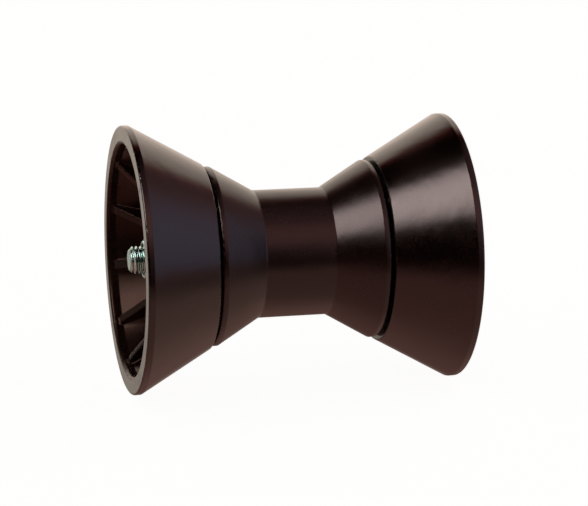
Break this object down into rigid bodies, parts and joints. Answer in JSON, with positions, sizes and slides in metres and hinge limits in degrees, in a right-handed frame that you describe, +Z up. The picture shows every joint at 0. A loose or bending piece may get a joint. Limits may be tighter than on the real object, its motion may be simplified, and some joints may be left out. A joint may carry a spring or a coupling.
{
  "type": "bow roller",
  "caption": "Trailer bow roller: rubber spool between two hollow ribbed rubber bells, turning freely on one steel bolt.",
  "frame": {"origin": "on the bolt's axis, in the middle of the spool and halfway between the two rims", "axes": "+X along the bolt, from its threaded end to its head; +Z up; the roller is alike all round X"},
  "size_m": [0.1502, 0.1214, 0.1216],
  "materials": {
    "spool_rubber": "satin moulded rubber, dark brown-black",
    "bell_rubber": "satin moulded rubber, dark brown-black",
    "zinc_steel": "bright zinc plate",
    "nylon": "natural nylon"
  },
  "bodies": {
    "axle": {"axle_bolt": "zinc_steel", "lock_nut": "zinc_steel", "lock_nut_insert": "nylon", "nut_washer": "zinc_steel", "head_washer": "zinc_steel", "left_gap_washer": "nylon", "right_gap_washer": "nylon"},
    "spool": {"spool": "spool_rubber", "spool_bush": "nylon"},
    "left_bell": {"left_bell": "bell_rubber", "left_bell_bush": "nylon"},
    "right_bell": {"right_bell": "bell_rubber", "right_bell_bush": "nylon"}
  },
  "joints": [
    {"name": "spool_spin", "type": "hinge", "parent": "axle", "child": "spool", "pos_m": [0, 0, 0], "axis": [1, 0, 0], "continuous": true},
    {"name": "left_bell_spin", "type": "hinge", "parent": "axle", "child": "left_bell", "pos_m": [-0.0445, 0, 0], "axis": [1, 0, 0], "continuous": true},
    {"name": "right_bell_spin", "type": "hinge", "parent": "axle", "child": "right_bell", "pos_m": [0.0445, 0, 0], "axis": [1, 0, 0], "continuous": true}
  ]
}
